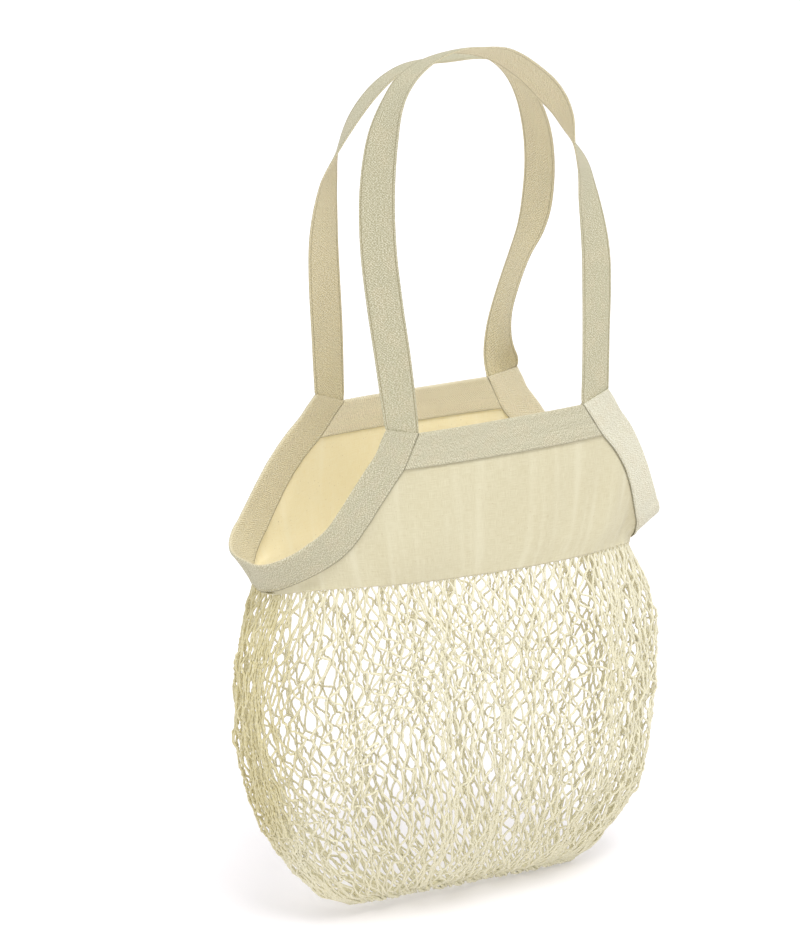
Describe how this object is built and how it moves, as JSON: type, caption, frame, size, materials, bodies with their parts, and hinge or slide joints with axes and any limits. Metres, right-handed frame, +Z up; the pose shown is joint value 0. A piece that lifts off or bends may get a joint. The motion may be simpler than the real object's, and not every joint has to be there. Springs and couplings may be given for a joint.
{
  "type": "net shopping bag",
  "caption": "Net tote with calico panels, taped hems and scooped taped sides, and long tape handles gathered at the hang point.",
  "frame": {"origin": "the point at which the two handles hang together, under the hook or hand that holds the bag", "axes": "+Z up, against gravity, from the bag's bottom seam to the hang point; the front panel faces -Y; +X is the right-hand side seen from the front"},
  "size_m": [0.3988, 0.1634, 0.7296],
  "materials": {
    "panel_calico": "plain-woven unbleached calico",
    "hem_tape": "herringbone cotton tape",
    "binding_tape": "herringbone cotton tape",
    "handle_tape": "herringbone cotton tape",
    "net_cotton": "twisted cotton net cord"
  },
  "bodies": {
    "root": {"front_panel": "panel_calico", "back_panel": "panel_calico", "front_hem": "hem_tape", "back_hem": "hem_tape", "left_binding": "binding_tape", "right_binding": "binding_tape", "front_handle": "handle_tape", "back_handle": "handle_tape", "net_body": "net_cotton"}
  },
  "joints": []
}
